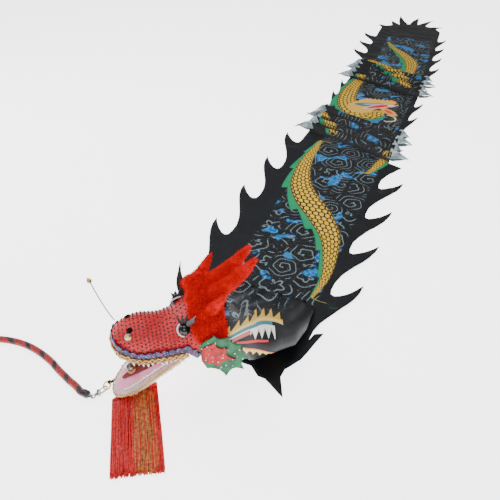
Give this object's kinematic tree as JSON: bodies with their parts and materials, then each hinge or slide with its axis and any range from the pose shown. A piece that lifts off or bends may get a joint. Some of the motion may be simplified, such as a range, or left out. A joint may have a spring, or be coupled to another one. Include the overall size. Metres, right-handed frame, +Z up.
{
  "type": "dragon streamer",
  "caption": "Hand-swung dragon streamer: plush dragon head with open jaw, fringed tassel, snap-hook rope lead with hand loop, and a long flame-edged cloth ribbon.",
  "frame": {"origin": "under the front of the ribbon on its centre line, at the surface it lies on", "axes": "+Z up, +Y along the ribbon towards its tail, +X to the ribbon's right seen from the head end"},
  "size_m": [1.4693, 4.4246, 0.4048],
  "materials": {
    "black_cloth": "satin",
    "red_plush": "matte",
    "sequin_cloth": "glossy",
    "pink_lining": "satin",
    "pink_plush": "matte",
    "tongue_cloth": "satin",
    "white_felt": "matte",
    "gold_braid": "satin",
    "blue_sequins": "glossy",
    "black_plastic": "glossy",
    "white_plastic": "glossy",
    "black_felt": "matte",
    "green_felt": "matte",
    "red_sequins": "glossy",
    "steel": "polished",
    "black_webbing": "matte",
    "brass": "polished",
    "whisker_wire": "satin",
    "gold_plastic": "glossy",
    "pearl": "pearlescent",
    "red_cord": "satin"
  },
  "bodies": {
    "ribbon": {"ribbon_front": "black_cloth", "neck_cowl": "black_cloth", "gather_front": "black_cloth"},
    "ribbon_mid": {"ribbon_middle": "black_cloth", "gather_rear": "black_cloth"},
    "ribbon_end": {"ribbon_tail": "black_cloth"},
    "head": {"head_shell": "sequin_cloth", "palate_lining": "pink_lining", "lower_jaw": "pink_plush", "jaw_lining": "pink_lining", "mouth_web": "pink_lining", "tongue": "tongue_cloth", "teeth": "white_felt", "fangs": "white_felt", "upper_lip_trim": "gold_braid", "lower_lip_trim": "gold_braid", "sequin_band": "blue_sequins", "nostrils": "black_plastic", "eye_left": "black_plastic", "eye_right": "black_plastic", "eye_rim_left": "white_plastic", "eye_rim_right": "white_plastic", "eyelash_left": "black_felt", "eyelash_right": "black_felt", "horn_left": "red_plush", "horn_right": "red_plush", "ear_left": "red_plush", "ear_right": "red_plush", "mane_collar": "red_plush", "cheek_fin_left": "green_felt", "cheek_fin_right": "green_felt", "cheek_flame_left": "red_sequins", "cheek_flame_right": "red_sequins", "neck_hoop": "steel", "load_strap": "black_webbing", "chin_tab": "black_webbing", "chin_rivet": "brass", "pearl_ring": "brass", "tassel_header": "red_cord"},
    "tassel": {"tassel_red": "red_cord", "tassel_gold": "gold_braid"},
    "whisker_l": {"whisker_left": "whisker_wire", "whisker_bud_left": "gold_plastic"},
    "whisker_r": {"whisker_right": "whisker_wire", "whisker_bud_right": "gold_plastic"},
    "pearl": {"pearl": "pearl"},
    "ring": {"chin_ring": "brass"},
    "hook": {"hook_body": "steel", "gate_pin": "steel"},
    "gate": {"hook_gate": "steel"},
    "swivel": {"swivel_eye": "steel"},
    "lead": {"rope_bail": "steel", "rope_sleeve": "black_plastic", "lead_rope": "red_cord", "lead_coil": "red_cord", "lead_end": "red_cord", "end_ferrule": "brass", "hand_loop": "black_webbing"}
  },
  "joints": [
    {"name": "mid_fold", "type": "hinge", "parent": "ribbon", "child": "ribbon_mid", "pos_m": [0, 1.5703, 0.003], "axis": [0.9205, -0.3907, 0], "range_deg": [0, 80]},
    {"name": "tail_fold", "type": "hinge", "parent": "ribbon_mid", "child": "ribbon_end", "pos_m": [0, 2.3906, 0.003], "axis": [0.9205, -0.3907, 0], "range_deg": [0, 80]},
    {"name": "neck_nod", "type": "hinge", "parent": "ribbon", "child": "head", "pos_m": [0.0284, -0.2413, 0.3], "axis": [-0.6157, 0.788, 0], "range_deg": [0, 30]},
    {"name": "tassel_swing", "type": "hinge", "parent": "head", "child": "tassel", "pos_m": [-0.18726, -0.44279, 0.009], "axis": [0.8017, 0.4631, 0.378], "range_deg": [0, 50]},
    {"name": "whisker_left_flick", "type": "hinge", "parent": "head", "child": "whisker_l", "pos_m": [-0.1226, -0.41511, 0.238], "axis": [0.788, 0.6157, 0], "range_deg": [-20, 20], "stiffness_Nm_per_rad": 0.004},
    {"name": "whisker_right_flick", "type": "hinge", "parent": "head", "child": "whisker_r", "pos_m": [-0.20692, -0.35917, 0.217], "axis": [0.788, 0.6157, 0], "range_deg": [-20, 20], "stiffness_Nm_per_rad": 0.004},
    {"name": "pearl_spin", "type": "hinge", "parent": "head", "child": "pearl", "pos_m": [-0.16136, -0.38956, 0.09175], "axis": [-0.4742, -0.3705, 0.7986], "continuous": true},
    {"name": "ring_swing", "type": "hinge", "parent": "head", "child": "ring", "pos_m": [-0.22295, -0.40849, 0.024], "axis": [0.9272, -0.3746, 0], "range_deg": [-25, 40]},
    {"name": "hook_swing", "type": "hinge", "parent": "ring", "child": "hook", "pos_m": [-0.22986, -0.42559, 0.012], "axis": [0.9272, -0.3746, 0], "range_deg": [-20, 20]},
    {"name": "gate_open", "type": "hinge", "parent": "hook", "child": "gate", "pos_m": [-0.23641, -0.44181, 0.02], "axis": [-0.9272, 0.3746, 0], "range_deg": [0, 17], "stiffness_Nm_per_rad": 0.02},
    {"name": "swivel_turn", "type": "hinge", "parent": "hook", "child": "swivel", "pos_m": [-0.243, -0.45813, 0.012], "axis": [-0.3746, -0.9272, 0], "range_deg": [-70, 70]},
    {"name": "lead_swing", "type": "hinge", "parent": "swivel", "child": "lead", "pos_m": [-0.24375, -0.45999, 0.012], "axis": [0, 0, 1], "range_deg": [-20, 20]}
  ]
}
